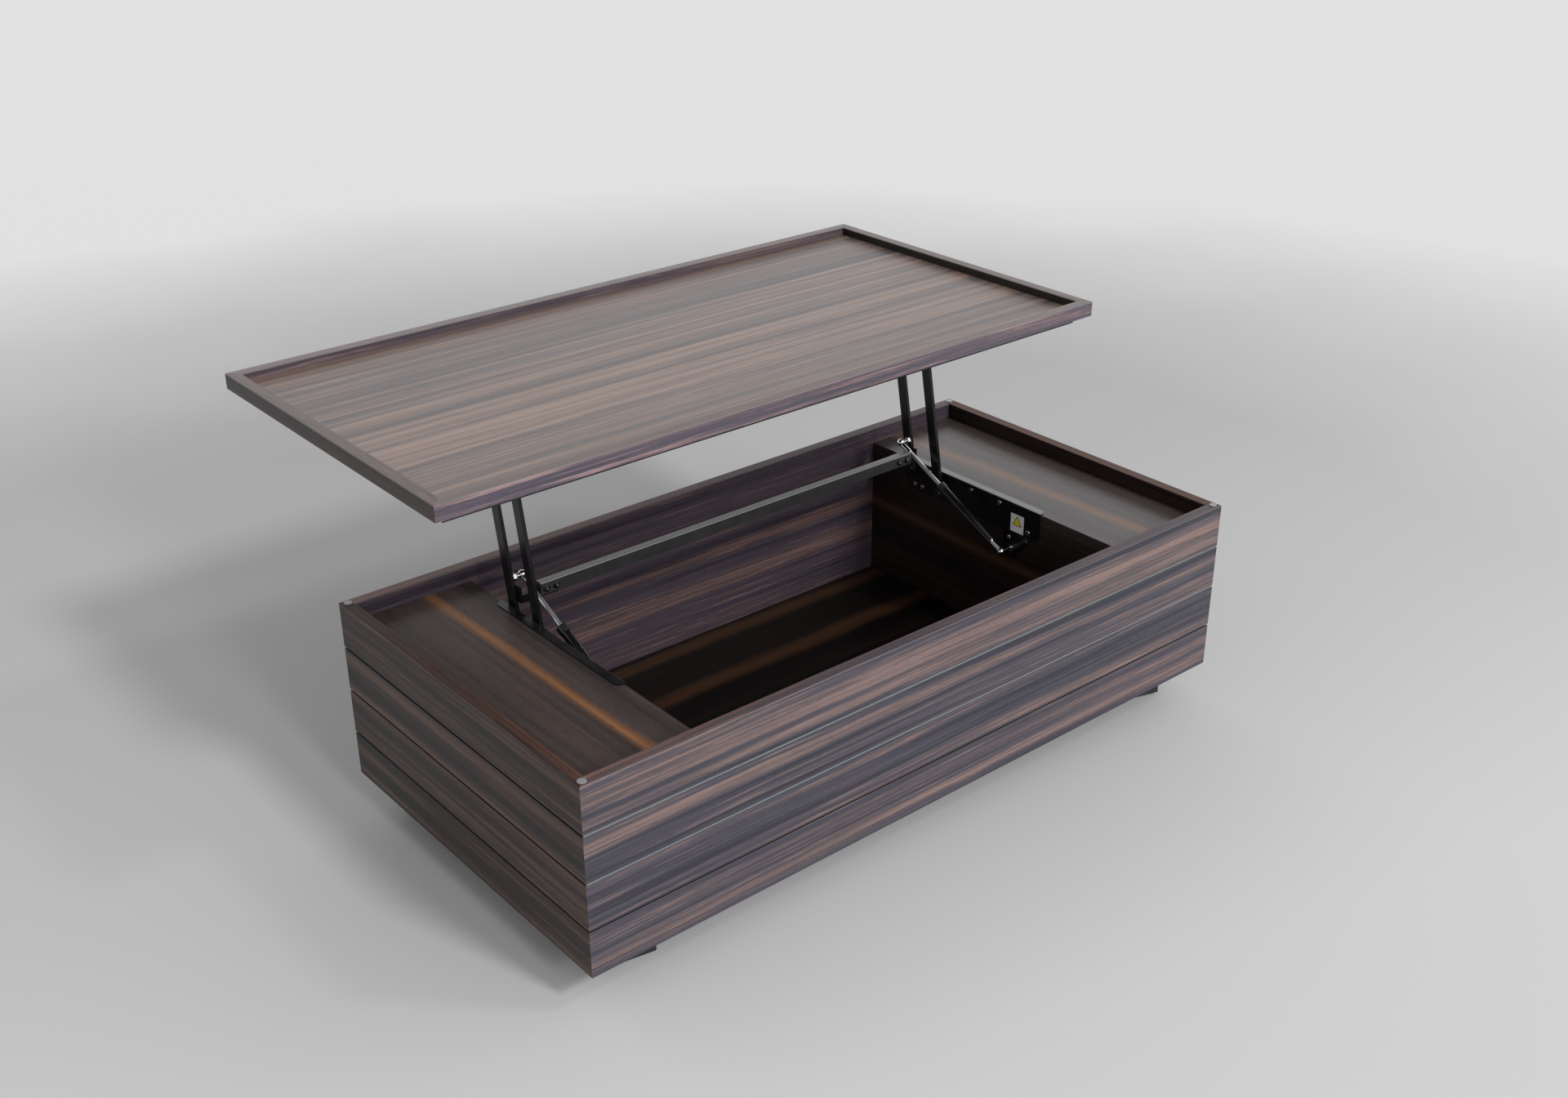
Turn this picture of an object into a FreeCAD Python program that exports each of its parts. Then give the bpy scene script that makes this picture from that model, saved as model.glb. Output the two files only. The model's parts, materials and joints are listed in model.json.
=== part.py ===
import FreeCAD, Part
import os
from math import atan2, cos, degrees, hypot, radians, sin, sqrt

# A low rectangular coffee table whose tray top rises and comes back towards the sitter
# on two pairs of parallel steel arms, held up by two gas springs.
# Everything is built with x = 0 in the middle of the table, y = 0 on the front face of
# the box and z = 0 on the underside of the box, with the top raised. Only export() moves
# it, to put the origin on the floor under the middle of the raised table.

V = FreeCAD.Vector

# ---- box ----
BOX_LENGTH = 1200.0
BOX_DEPTH = 600.0
BOX_HEIGHT = 281.5
BOARD = 18.0
SHELF_DROP = 25.0             # rim of the box down to the two side shelves
POCKET_HALF = 400.0           # middle of the table to the face of each divider
GROOVE_COUNT = 3
GROOVE_HEIGHT = 3.0
GROOVE_DEPTH = 2.5
EASING = 0.6                  # chamfer on the edges of the boards
NEAR = 0.01                   # coordinates closer than this are the same

FOOT_SIDE = 95.0
FOOT_HEIGHT = 55.0            # floor to the underside of the box, pad included
FOOT_EASING = 1.0
FOOT_PAD = 3.0
FOOT_PAD_INSET = 6.0
FOOT_FROM_END = 90.0
FOOT_FROM_FRONT = 99.0
FOOT_TURNS = {"front_left": -10.0, "front_right": -17.0, "back_left": 4.0, "back_right": -6.0}
FOOT_BOLT = 4.0               # shank radius
FOOT_BOLT_HEAD = 8.0
FOOT_BOLT_HEAD_HEIGHT = 5.0
FOOT_BOLT_ROOM = 1.0          # around the head, in the foot and its pad
FOOT_BOLT_SINK = 12.0         # depth of the counterbore above the pad
FOOT_BOLT_SHORT = 2.0         # from its end up to the upper face of the floor panel

BUMPER_RADIUS = 6.0
BUMPER_HEIGHT = 1.5
BUMPER_INSET = 9.5
BUMPER_ROUND = 0.9

DOWEL_RADIUS = 4.0
DOWEL_HALF = 10.0
DOWEL_SHARES = (0.15, 0.5, 0.85)   # of the inner depth of the box
CLEAT = 20.0
BLOCK = 40.0

# ---- lid ----
LID_REST_GAP = 0.3            # closed rim above the bumpers
RIM_WIDTH = 18.0
RIM_HEIGHT = 23.5
TRAY_DEPTH = 13.0
UNDER_INSET = 20.0
UNDER_DROP = 12.9             # below the underside of the rim

# ---- lift linkage, in the y-z plane ----
ARM_LENGTH = 244.1
RAISED_ANGLE = 79.5           # arm direction with the top up, from +y towards +z
LIFT_TRAVEL = 99.0            # turn of the arms from raised to closed
REAR_PIVOT = (478.0, 246.0)
FRONT_PIVOT = (411.0, 222.0)
ARM_HALF = 9.0
PIN_RADIUS = 4.0
PIN_CLEARANCE = 0.1
FACE_CLEARANCE = 0.3

# ---- lift linkage, across the table: distances in from a divider's face ----
SHEET = 2.0
ARM_NEAR = 6.0
ARM_FAR = 12.0
UPPER_PLATE_NEAR = 16.0
BALL_LINE = 29.0
PIN_HEAD_RADIUS = 7.0
PIN_HEAD = 2.0
PIN_DRIVE = 2.5               # radius of the round recess in a pin's head

# ---- base bracket ----
BRACKET_CORNERS = (           # lower outline from front to rear: y, z, corner radius
    (193.0, 214.0, 9.0), (213.0, 203.0, 4.0), (243.0, 162.0, 4.0), (266.0, 162.0, 9.0),
    (269.0, 206.5, 5.0), (484.0, 206.5, 8.0), (497.0, 224.0, 8.0))
FLANGE_WIDTH = 14.0
FLANGE_CORNER = 10.0
BEND_ROUND = 1.6
BRACKET_SCREWS = ((474.0, 216.0), (457.0, 216.0), (440.0, 249.0), (344.0, 249.0),
                  (280.0, 249.0), (256.0, 197.0), (216.0, 218.0))
SCREW_RADIUS = 2.0
SCREW_HEAD_RADIUS = 4.0
SCREW_HEAD = 1.8
SCREW_LENGTH = 14.0
SCREW_DRIVE = 1.3
LABEL_Y = (226.0, 254.0)
LABEL_Z = (210.0, 241.0)
LABEL_THICKNESS = 0.15

# ---- gas springs ----
LOWER_BALL = (247.0, 182.0)
BALL_ALONG_ARM = 50.0
BALL_OFF_ARM = 3.0            # towards the front of the arm's middle line
BALL_RADIUS = 4.0
SOCKET_MOUTH = 3.6            # radius of the opening that the ball's stem passes
SOCKET_RADIUS = 6.3
SOCKET_NECK = 4.2
UPPER_FITTING = 25.0
LOWER_FITTING = 23.0
CYLINDER_LENGTH = 133.0
CYLINDER_RADIUS = 7.5
CYLINDER_ROUND = 1.5
CYLINDER_END = 15.0           # solid closed end, below the bore
COLLAR_RADIUS = 8.4
COLLAR_LENGTH = 11.0
COLLAR_LIP = 0.5
ROD_RADIUS = 3.5
ROD_INSIDE = 25.0             # length of rod left in the cylinder with the top raised
STUD_RADIUS = 3.0
NUT_RADIUS = 6.5
NUT_THICKNESS = 5.0

# ---- cross bar ----
BAR_HALF_LENGTH = 362.0
BAR_Y = (450.0, 463.0)
BAR_Z = (271.0, 291.0)
BAR_WALL = 1.5
BAR_CORNER = 1.4
BAR_BOLTS_X = (336.0, 353.0)
BAR_BOLT_RADIUS = 3.0
BAR_BOLT_HEAD_RADIUS = 5.5
BAR_BOLT_HEAD = 3.0
BAR_BOLT_ROUND = 1.8
BAR_BOLT_DRIVE = 2.0
BAR_BOLT_DRIVE_DEPTH = 2.0
BAR_BOLT_END = 5.0            # shank beyond the tab
BAR_NUT_RADIUS = 5.0
BAR_NUT_THICKNESS = 4.0
CAP_DEPTH = 5.0
CAP_LIP = 1.2
CAP_LIP_INSET = 0.5
TAB_FROM_X = 326.0
TAB_LOW_TOP = 275.0           # where the tab passes under the gas spring's rod
TAB_BOTTOM = 262.0
TAB_BELOW_BAR = 1.0
ARM_PLATE_TOP = 287.0
ARM_PLATE_REACH = 6.0         # behind the upper ball

# ---- upper brackets, under the lid ----
UPPER_FRONT_REACH = 16.0      # plate ahead of the front pivot
UPPER_REAR_REACH = 30.0       # plate behind the rear pivot
UPPER_FRONT_CORNERS = ((-UPPER_FRONT_REACH, -12.0, 10.0), (12.0, -12.0, 10.0))   # from its pivot
UPPER_REAR_CORNERS = ((6.0, -13.0, 8.0), (UPPER_REAR_REACH, 2.0, 8.0))           # from its pivot
UPPER_FLANGE_OUTER = -6.0     # distance in from the divider's face
LID_SCREW_LINE = 1.0          # distance in from the divider's face
LID_SCREW_FRONT = -8.0        # from the front pivot
LID_SCREW_REAR = 20.0         # from the rear pivot
LID_SCREW_DEPTH = 9.0

# ---- worked out from the above ----
HALF = BOX_LENGTH / 2
INNER_HALF = HALF - BOARD
SHELF_TOP = BOX_HEIGHT - SHELF_DROP
SHELF_UNDER = SHELF_TOP - BOARD
CLOSED_ANGLE = RAISED_ANGLE + LIFT_TRAVEL
LID_BACK = ARM_LENGTH * (cos(radians(RAISED_ANGLE)) - cos(radians(CLOSED_ANGLE)))
LID_UP = ARM_LENGTH * (sin(radians(RAISED_ANGLE)) - sin(radians(CLOSED_ANGLE)))
RIM_UNDER = BOX_HEIGHT + BUMPER_HEIGHT + LID_REST_GAP + LID_UP
UNDER_BOTTOM = RIM_UNDER - UNDER_DROP
TRAY_TOP = RIM_UNDER + RIM_HEIGHT - TRAY_DEPTH
ORIGIN_Y = (BOX_DEPTH + LID_BACK) / 2
SIDES = {"left": -1, "right": 1}


def along_arm(pivot, distance, forward=0.0):
    """Point on an arm, in (y, z): so far from its base pivot, and so far to its front."""
    c = cos(radians(RAISED_ANGLE))
    s = sin(radians(RAISED_ANGLE))
    return (pivot[0] + distance * c - forward * s, pivot[1] + distance * s + forward * c)


REAR_TOP_PIVOT = along_arm(REAR_PIVOT, ARM_LENGTH)
FRONT_TOP_PIVOT = along_arm(FRONT_PIVOT, ARM_LENGTH)
UPPER_BALL = along_arm(REAR_PIVOT, BALL_ALONG_ARM, BALL_OFF_ARM)
SPRING_LENGTH = hypot(UPPER_BALL[0] - LOWER_BALL[0], UPPER_BALL[1] - LOWER_BALL[1])
SPRING_ANGLE = degrees(atan2(UPPER_BALL[1] - LOWER_BALL[1], UPPER_BALL[0] - LOWER_BALL[0]))


# ---- small helpers ----

def block(x0, x1, y0, y1, z0, z1):
    """Box between two corners, given in any order."""
    lo = V(min(x0, x1), min(y0, y1), min(z0, z1))
    return Part.makeBox(abs(x1 - x0), abs(y1 - y0), abs(z1 - z0), lo)


def eased(shape, size=EASING):
    return shape.makeChamfer(size, shape.Edges)


def prism(points, depth):
    """Solid from a closed outline of points, pushed along one vector."""
    wire = Part.makePolygon(points + points[:1])
    return Part.Face(wire).extrude(depth)


def rod_x(x0, x1, yz, radius):
    """Round bar along x between two stations."""
    start = V(min(x0, x1), yz[0], yz[1])
    return Part.makeCylinder(radius, abs(x1 - x0), start, V(1, 0, 0))


def rod_y(x, y0, y1, z, radius):
    return Part.makeCylinder(radius, abs(y1 - y0), V(x, min(y0, y1), z), V(0, 1, 0))


def rod_z(x, y, z0, z1, radius):
    return Part.makeCylinder(radius, abs(z1 - z0), V(x, y, min(z0, z1)), V(0, 0, 1))


def hex_x(x0, x1, yz, radius):
    """Hexagonal nut along x."""
    corners = []
    for i in range(6):
        turn = radians(60 * i)
        corners.append(V(x0, yz[0] + radius * cos(turn), yz[1] + radius * sin(turn)))
    return prism(corners, V(x1 - x0, 0, 0))


def rounded_plate(corners, x0, x1):
    """Sheet in the y-z plane: corners are (y, z, radius), thick from x0 to x1."""
    count = len(corners)
    ends = []
    for i in range(count):
        y, z, r = corners[i]
        here = V(x0, y, z)
        before = V(x0, corners[i - 1][0], corners[i - 1][1]) - here
        after = V(x0, corners[(i + 1) % count][0], corners[(i + 1) % count][1]) - here
        before.normalize()
        after.normalize()
        half = before.getAngle(after) / 2
        reach = r * cos(half) / sin(half)
        middle = (before + after).normalize() * (r / sin(half) - r)
        ends.append((here + before * reach, here + middle, here + after * reach, r))
    edges = []
    for i in range(count):
        start, top, stop, r = ends[i]
        if r > 0:
            edges.append(Part.Arc(start, top, stop).toShape())
        edges.append(Part.LineSegment(stop, ends[(i + 1) % count][0]).toShape())
    return Part.Face(Part.Wire(edges)).extrude(V(x1 - x0, 0, 0))


def group(solids):
    return Part.makeCompound(solids)


def divider_x(side, inward):
    """x of a station at some distance in from the divider's face, on one side."""
    return SIDES[side] * (POCKET_HALF - inward)


def export(name, shape):
    moved = shape.copy()
    moved.translate(V(0, -ORIGIN_Y, FOOT_HEIGHT))
    moved.exportStep("parts/" + name + ".step")


# ---- box ----

def groove_heights():
    step = BOX_HEIGHT / (GROOVE_COUNT + 1)
    return [step * (i + 1) for i in range(GROOVE_COUNT)]


def grooved(panel):
    """Cut the shadow grooves that run right round the outside of the box."""
    outside = block(-HALF, HALF, 0, BOX_DEPTH, 0, BOX_HEIGHT)
    core = block(-HALF + GROOVE_DEPTH, HALF - GROOVE_DEPTH,
                 GROOVE_DEPTH, BOX_DEPTH - GROOVE_DEPTH, 0, BOX_HEIGHT)
    shell = outside.cut(core)
    for height in groove_heights():
        z0 = height - GROOVE_HEIGHT / 2
        band = block(-HALF, HALF, 0, BOX_DEPTH, z0, z0 + GROOVE_HEIGHT)
        panel = panel.cut(shell.common(band))
    return panel


def top_edges(panel):
    """The long outer and inner edges along the top of a wall or rim."""
    top = panel.BoundBox.ZMax
    half_length = max(panel.BoundBox.XLength, panel.BoundBox.YLength) / 2
    found = []
    for edge in panel.Edges:
        box = edge.BoundBox
        flat = box.ZMax - box.ZMin < NEAR and abs(box.ZMax - top) < NEAR
        if flat and max(box.XLength, box.YLength) > half_length:
            found.append(edge)
    return found


def mitred_long(y_out, y_in, half, width, z0, height):
    """Board along x with 45 degree ends; its outer face is at y_out."""
    outline = [V(-half, y_out, z0), V(half, y_out, z0),
               V(half - width, y_in, z0), V(-half + width, y_in, z0)]
    board = prism(outline, V(0, 0, height))
    return board.makeChamfer(EASING, top_edges(board))


def mitred_short(side, y0, y1, half, width, z0, height):
    """Board along y with 45 degree ends, on one end of the table."""
    s = SIDES[side]
    outline = [V(s * half, y0, z0), V(s * half, y1, z0),
               V(s * (half - width), y1 - width, z0), V(s * (half - width), y0 + width, z0)]
    board = prism(outline, V(0, 0, height))
    return board.makeChamfer(EASING, top_edges(board))


def front_panel():
    return grooved(mitred_long(0, BOARD, HALF, BOARD, 0, BOX_HEIGHT))


def back_panel():
    return grooved(mitred_long(BOX_DEPTH, BOX_DEPTH - BOARD, HALF, BOARD, 0, BOX_HEIGHT))


def side_panel(side):
    return grooved(mitred_short(side, 0, BOX_DEPTH, HALF, BOARD, 0, BOX_HEIGHT))


def foot_centres():
    centres = {}
    for name in FOOT_TURNS:
        x = HALF - FOOT_FROM_END
        y = FOOT_FROM_FRONT if name.startswith("front") else BOX_DEPTH - FOOT_FROM_FRONT
        centres[name] = (-x if name.endswith("left") else x, y)
    return centres


def floor_panel():
    floor = eased(block(-INNER_HALF, INNER_HALF, BOARD, BOX_DEPTH - BOARD, 0, BOARD))
    for x, y in foot_centres().values():
        floor = floor.cut(rod_z(x, y, 0, BOARD, FOOT_BOLT))
    return floor.cut(group(dowels()))


def dowel_places():
    """(x, y) of the dowels that stand the dividers on the floor panel."""
    places = []
    for s in SIDES.values():
        for share in DOWEL_SHARES:
            y = BOARD + share * (BOX_DEPTH - 2 * BOARD)
            places.append((s * (POCKET_HALF + BOARD / 2), y))
    return places


def dowels():
    return [rod_z(x, y, BOARD - DOWEL_HALF, BOARD + DOWEL_HALF, DOWEL_RADIUS)
            for x, y in dowel_places()]


def divider(side):
    s = SIDES[side]
    board = block(s * POCKET_HALF, s * (POCKET_HALF + BOARD), BOARD, BOX_DEPTH - BOARD,
                  BOARD, SHELF_UNDER)
    return board.cut(group(dowels())).cut(group(screw_shanks(side)))


def shelf(side):
    s = SIDES[side]
    board = eased(block(s * POCKET_HALF, s * INNER_HALF, BOARD, BOX_DEPTH - BOARD,
                        SHELF_UNDER, SHELF_TOP))
    return board.cut(group(screw_shanks(side)))


def shelf_cleats():
    """Battens on the end walls that carry the outer edge of each shelf."""
    cleats = []
    for s in SIDES.values():
        cleats.append(eased(block(s * INNER_HALF, s * (INNER_HALF - CLEAT), BOARD + BLOCK,
                                  BOX_DEPTH - BOARD - BLOCK, SHELF_UNDER - CLEAT, SHELF_UNDER)))
    return group(cleats)


def corner_blocks():
    """Triangular glue blocks inside the four mitred corners, under the shelves."""
    blocks = []
    for s in SIDES.values():
        for y, inward in ((BOARD, 1), (BOX_DEPTH - BOARD, -1)):
            outline = [V(s * INNER_HALF, y, BOARD), V(s * (INNER_HALF - BLOCK), y, BOARD),
                       V(s * INNER_HALF, y + inward * BLOCK, BOARD)]
            blocks.append(prism(outline, V(0, 0, SHELF_UNDER - BOARD)))
    return group(blocks)


def foot(name):
    x, y = foot_centres()[name]
    h = FOOT_SIDE / 2
    solid = eased(block(x - h, x + h, y - h, y + h, FOOT_PAD - FOOT_HEIGHT, 0), FOOT_EASING)
    sink_top = FOOT_PAD - FOOT_HEIGHT + FOOT_BOLT_SINK
    sink = rod_z(x, y, FOOT_PAD - FOOT_HEIGHT, sink_top, FOOT_BOLT_HEAD + FOOT_BOLT_ROOM)
    solid = solid.cut(sink)
    solid = solid.cut(rod_z(x, y, FOOT_PAD - FOOT_HEIGHT, 0, FOOT_BOLT))
    solid.rotate(V(x, y, 0), V(0, 0, 1), FOOT_TURNS[name])
    return solid


def foot_bolts():
    sink_top = FOOT_PAD - FOOT_HEIGHT + FOOT_BOLT_SINK
    bolts = []
    for x, y in foot_centres().values():
        head = rod_z(x, y, sink_top - FOOT_BOLT_HEAD_HEIGHT, sink_top, FOOT_BOLT_HEAD)
        shank = rod_z(x, y, sink_top, BOARD - FOOT_BOLT_SHORT, FOOT_BOLT)
        bolts.append(head.fuse(shank))
    return group(bolts)


def foot_pads():
    """Felt rings under the feet, open in the middle for the bolt."""
    pads = []
    for name, (x, y) in foot_centres().items():
        h = FOOT_SIDE / 2 - FOOT_PAD_INSET
        top = FOOT_PAD - FOOT_HEIGHT
        pad = block(x - h, x + h, y - h, y + h, -FOOT_HEIGHT, top)
        pad = pad.cut(rod_z(x, y, -FOOT_HEIGHT, top, FOOT_BOLT_HEAD + FOOT_BOLT_ROOM))
        pad.rotate(V(x, y, 0), V(0, 0, 1), FOOT_TURNS[name])
        pads.append(pad)
    return group(pads)


def rim_bumpers():
    bumpers = []
    for s in SIDES.values():
        for y in (BUMPER_INSET, BOX_DEPTH - BUMPER_INSET):
            disc = rod_z(s * (HALF - BUMPER_INSET), y, BOX_HEIGHT,
                         BOX_HEIGHT + BUMPER_HEIGHT, BUMPER_RADIUS)
            top = [e for e in disc.Edges if abs(e.BoundBox.ZMin - disc.BoundBox.ZMax) < NEAR]
            bumpers.append(disc.makeFillet(BUMPER_ROUND, top))
    return group(bumpers)


# ---- base brackets ----

def base_bracket(side):
    """Steel angle: a plate on the divider, a flange over the shelf and a tab for the spring."""
    top = SHELF_TOP + SHEET
    front = BRACKET_CORNERS[0][0]
    rear = BRACKET_CORNERS[-1][0]
    back_x = divider_x(side, 0)
    face_x = divider_x(side, SHEET)
    outer_x = divider_x(side, SHEET - FLANGE_WIDTH)
    outline = [(front, top, 0), *BRACKET_CORNERS, (rear, top, 0)]
    plate = rounded_plate(outline, back_x, face_x)
    flange = block(face_x, outer_x, front, rear, SHELF_TOP, top)
    corners = [e for e in flange.Edges
               if e.BoundBox.ZLength > SHEET / 2 and abs(e.BoundBox.XMin - outer_x) < NEAR]
    bracket = plate.fuse(flange.makeFillet(FLANGE_CORNER, corners)).removeSplitter()
    bend = [e for e in bracket.Edges
            if abs(e.BoundBox.ZMin - top) < NEAR and abs(e.BoundBox.XMin - face_x) < NEAR
            and e.BoundBox.YLength > (rear - front) / 2]
    bracket = bracket.makeFillet(BEND_ROUND, bend)
    pins = [rod_x(back_x, face_x, pivot, PIN_RADIUS) for pivot in (REAR_PIVOT, FRONT_PIVOT)]
    return bracket.cut(group(screw_shanks(side) + pins))


def screw_shanks(side):
    return [rod_x(divider_x(side, SHEET), divider_x(side, -SCREW_LENGTH), p, SCREW_RADIUS)
            for p in BRACKET_SCREWS]


def pan_head_x(x0, x1, yz, radius, drive):
    """Screw head from its seat at x0 to its top at x1, with a round drive recess."""
    head = rod_x(x0, x1, yz, radius)
    rim = [e for e in head.Edges if abs(e.BoundBox.XMin - x1) < NEAR
           and abs(e.BoundBox.XMax - x1) < NEAR]
    head = head.makeFillet(abs(x1 - x0) / 2, rim)
    return head.cut(rod_x((x0 + x1) / 2, x1, yz, drive))


def bracket_screws():
    screws = []
    for side in SIDES:
        seat = divider_x(side, SHEET)
        for yz, shank in zip(BRACKET_SCREWS, screw_shanks(side)):
            head = pan_head_x(seat, divider_x(side, SHEET + SCREW_HEAD), yz,
                              SCREW_HEAD_RADIUS, SCREW_DRIVE)
            screws.append(head.fuse(shank))
    return group(screws)


def base_pivot_pins():
    """Shouldered rivets, fixed in the base plates, that the arms turn on."""
    pins = []
    for side in SIDES:
        for yz in (REAR_PIVOT, FRONT_PIVOT):
            shoulder = rod_x(divider_x(side, SHEET), divider_x(side, ARM_NEAR - FACE_CLEARANCE),
                             yz, PIN_HEAD_RADIUS)
            shank = rod_x(divider_x(side, 0), divider_x(side, ARM_FAR + FACE_CLEARANCE),
                          yz, PIN_RADIUS)
            head = pan_head_x(divider_x(side, ARM_FAR + FACE_CLEARANCE),
                              divider_x(side, ARM_FAR + FACE_CLEARANCE + PIN_HEAD),
                              yz, PIN_HEAD_RADIUS, PIN_DRIVE)
            pins.append(shoulder.fuse([shank, head]))
    return group(pins)


def safety_label():
    """Plain sticker on the right-hand base plate."""
    x = divider_x("right", SHEET)
    return block(x, x - LABEL_THICKNESS, LABEL_Y[0], LABEL_Y[1], LABEL_Z[0], LABEL_Z[1])


# ---- arms ----

def arm(side, pivot):
    """Flat steel bar with round ends and a hole at each end."""
    x0 = divider_x(side, ARM_NEAR)
    x1 = divider_x(side, ARM_FAR)
    upper = (pivot[0], pivot[1] + ARM_LENGTH)
    web = block(x0, x1, pivot[0] - ARM_HALF, pivot[0] + ARM_HALF, pivot[1], upper[1])
    bar = web.fuse([rod_x(x0, x1, pivot, ARM_HALF), rod_x(x0, x1, upper, ARM_HALF)])
    bar = bar.removeSplitter()
    rims = [e for e in bar.Edges if e.BoundBox.XLength < NEAR]
    bar = bar.makeChamfer(EASING, rims)
    for end in (pivot, upper):
        bar = bar.cut(rod_x(x0, x1, end, PIN_RADIUS + PIN_CLEARANCE))
    bar.rotate(V(0, pivot[0], pivot[1]), V(1, 0, 0), RAISED_ANGLE - 90)
    return bar


def bar_bracket(side):
    """Angle welded to the rear arm that carries one end of the cross bar."""
    outer = divider_x(side, ARM_FAR)
    inner = divider_x(side, ARM_FAR + SHEET)
    y0 = BAR_Y[1]
    y1 = y0 + SHEET
    s = SIDES[side]
    side_plate = block(outer, inner, y0, UPPER_BALL[0] + ARM_PLATE_REACH,
                       TAB_BOTTOM, ARM_PLATE_TOP)
    low = block(inner, s * BAR_HALF_LENGTH, y0, y1, TAB_BOTTOM, TAB_LOW_TOP)
    high = block(s * BAR_HALF_LENGTH, s * TAB_FROM_X, y0, y1, TAB_BOTTOM,
                 BAR_Z[1] - TAB_BELOW_BAR)
    angle = side_plate.fuse([low, high]).removeSplitter()
    return angle.cut(group(bar_bolt_shanks(s)))


def bar_bolt_shanks(s):
    middle = (BAR_Z[0] + BAR_Z[1]) / 2
    end = BAR_Y[1] + SHEET + BAR_BOLT_END
    return [rod_y(s * x, BAR_Y[0], end, middle, BAR_BOLT_RADIUS) for x in BAR_BOLTS_X]


def cross_bar():
    """Rectangular steel tube that ties the two rear arms together."""
    tube = block(-BAR_HALF_LENGTH, BAR_HALF_LENGTH, BAR_Y[0], BAR_Y[1], BAR_Z[0], BAR_Z[1])
    long_edges = [e for e in tube.Edges if e.BoundBox.XLength > BAR_HALF_LENGTH]
    tube = tube.makeFillet(BAR_CORNER, long_edges)
    bore = block(-BAR_HALF_LENGTH, BAR_HALF_LENGTH, BAR_Y[0] + BAR_WALL, BAR_Y[1] - BAR_WALL,
                 BAR_Z[0] + BAR_WALL, BAR_Z[1] - BAR_WALL)
    tube = tube.cut(bore)
    for s in SIDES.values():
        tube = tube.cut(group(bar_bolt_shanks(s)))
    return tube


def bar_end_caps():
    """Plastic plugs pushed into the open ends of the cross bar."""
    caps = []
    for s in SIDES.values():
        end = s * BAR_HALF_LENGTH
        plug = block(end, end - s * CAP_DEPTH, BAR_Y[0] + BAR_WALL, BAR_Y[1] - BAR_WALL,
                     BAR_Z[0] + BAR_WALL, BAR_Z[1] - BAR_WALL)
        lip = block(end, end + s * CAP_LIP, BAR_Y[0] + CAP_LIP_INSET, BAR_Y[1] - CAP_LIP_INSET,
                    BAR_Z[0] + CAP_LIP_INSET, BAR_Z[1] - CAP_LIP_INSET)
        caps.append(plug.fuse(lip))
    return group(caps)


def cross_bar_bolts():
    """Button-head bolts through the bar and the angle behind it, each with its nut."""
    middle = (BAR_Z[0] + BAR_Z[1]) / 2
    nut_seat = BAR_Y[1] + SHEET
    head_top = BAR_Y[0] - BAR_BOLT_HEAD
    bolts = []
    for s in SIDES.values():
        for x, shank in zip(BAR_BOLTS_X, bar_bolt_shanks(s)):
            head = rod_y(s * x, head_top, BAR_Y[0], middle, BAR_BOLT_HEAD_RADIUS)
            front = [e for e in head.Edges if e.BoundBox.YMax < head_top + NEAR]
            head = head.makeFillet(BAR_BOLT_ROUND, front)
            head = head.cut(rod_y(s * x, head_top, head_top + BAR_BOLT_DRIVE_DEPTH, middle,
                                  BAR_BOLT_DRIVE))
            nut = rod_y(s * x, nut_seat, nut_seat + BAR_NUT_THICKNESS, middle, BAR_NUT_RADIUS)
            bolts.append(head.fuse([shank, nut]))
    return group(bolts)


# ---- gas springs: built along +y from the lower ball, then turned up into place ----

def spring_turned(shape):
    shape.rotate(V(0, LOWER_BALL[0], LOWER_BALL[1]), V(1, 0, 0), SPRING_ANGLE)
    return shape


def spring_bar(side, start, stop, radius):
    """Round piece on the spring's own line, by distance from the lower ball."""
    y = LOWER_BALL[0]
    return rod_y(divider_x(side, BALL_LINE), y + start, y + stop, LOWER_BALL[1], radius)


def ball_on_stem(ball_x, foot_x, yz, ball_radius, stem_radius):
    """Ball with its stem, turned about their common line along x."""
    y, z = yz
    way = 1 if foot_x > ball_x else -1
    neck_x = ball_x + way * sqrt(ball_radius ** 2 - stem_radius ** 2)
    tip = V(ball_x - way * ball_radius, y, z)
    neck = V(neck_x, y, z + stem_radius)
    foot_rim = V(foot_x, y, z + stem_radius)
    foot_middle = V(foot_x, y, z)
    profile = Part.Wire([Part.Arc(tip, V(ball_x, y, z + ball_radius), neck).toShape(),
                         Part.LineSegment(neck, foot_rim).toShape(),
                         Part.LineSegment(foot_rim, foot_middle).toShape(),
                         Part.LineSegment(foot_middle, tip).toShape()])
    return Part.Face(profile).revolve(V(0, y, z), V(-way, 0, 0), 360)


def ball_socket(side, centre, toward, reach):
    """Ball cup with a neck; toward is +1 or -1 along the spring's line."""
    x = divider_x(side, BALL_LINE)
    yz = (LOWER_BALL[0] + centre, LOWER_BALL[1])
    cup = Part.makeSphere(SOCKET_RADIUS, V(x, yz[0], yz[1]), V(SIDES[side], 0, 0))
    neck = spring_bar(side, centre, centre + toward * reach, SOCKET_NECK)
    hollow = ball_on_stem(x, x + SIDES[side] * SOCKET_RADIUS, yz,
                          BALL_RADIUS + PIN_CLEARANCE, SOCKET_MOUTH)
    return spring_turned(cup.fuse(neck).cut(hollow))


def gas_rod(side):
    start = LOWER_FITTING + CYLINDER_LENGTH - ROD_INSIDE
    return spring_turned(spring_bar(side, start, SPRING_LENGTH - UPPER_FITTING, ROD_RADIUS))


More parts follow.
